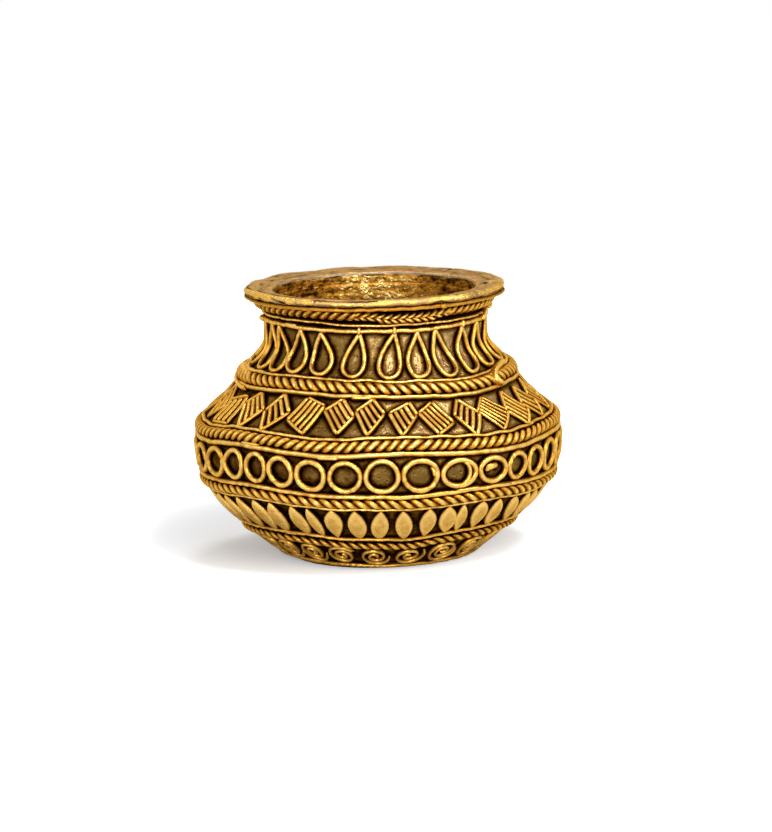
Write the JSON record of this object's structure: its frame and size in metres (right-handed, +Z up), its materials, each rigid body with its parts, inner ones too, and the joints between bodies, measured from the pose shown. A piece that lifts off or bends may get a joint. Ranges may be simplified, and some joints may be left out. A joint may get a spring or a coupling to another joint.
{
  "type": "kalash pot",
  "caption": "Squat cast brass water pot with a flat everted lip, a short neck and bands of laid wire ornament.",
  "frame": {"origin": "centre of the round underside", "axes": "+Z up along the pot's axis, the side shown in the picture faces -Y"},
  "size_m": [0.1105, 0.1105, 0.0814],
  "materials": {
    "wall_brass": "antique, matte",
    "thread_brass": "antique, rubbed",
    "lip_brass": "antique, worn",
    "base_brass": "dark, matte"
  },
  "bodies": {
    "root": {"base_disc": "base_brass", "bowl_wall": "wall_brass", "shoulder_wall": "wall_brass", "neck_wall": "wall_brass", "lip_ring": "lip_brass", "under_lip_wire": "thread_brass", "lip_rope": "thread_brass", "lip_rope_wire": "thread_brass", "neck_wire": "thread_brass", "shoulder_upper_wire": "thread_brass", "shoulder_rope": "thread_brass", "shoulder_lower_wire": "thread_brass", "belly_upper_wire": "thread_brass", "belly_rope": "thread_brass", "belly_lower_wire": "thread_brass", "flank_upper_wire": "thread_brass", "flank_rope": "thread_brass", "flank_lower_wire": "thread_brass", "leaf_wire": "thread_brass", "foot_rope": "thread_brass", "foot_wire": "thread_brass", "teardrop_01": "thread_brass", "teardrop_02": "thread_brass", "teardrop_03": "thread_brass", "teardrop_04": "thread_brass", "teardrop_05": "thread_brass", "teardrop_06": "thread_brass", "teardrop_07": "thread_brass", "teardrop_08": "thread_brass", "teardrop_09": "thread_brass", "teardrop_10": "thread_brass", "teardrop_11": "thread_brass", "teardrop_12": "thread_brass", "teardrop_13": "thread_brass", "teardrop_14": "thread_brass", "teardrop_15": "thread_brass", "teardrop_16": "thread_brass", "teardrop_17": "thread_brass", "teardrop_18": "thread_brass", "teardrop_19": "thread_brass", "teardrop_20": "thread_brass", "teardrop_21": "thread_brass", "teardrop_22": "thread_brass", "teardrop_23": "thread_brass", "teardrop_24": "thread_brass", "lozenge_row": "thread_brass", "ring_row": "thread_brass", "leaf_row": "thread_brass", "scroll_row": "thread_brass"}
  },
  "joints": []
}
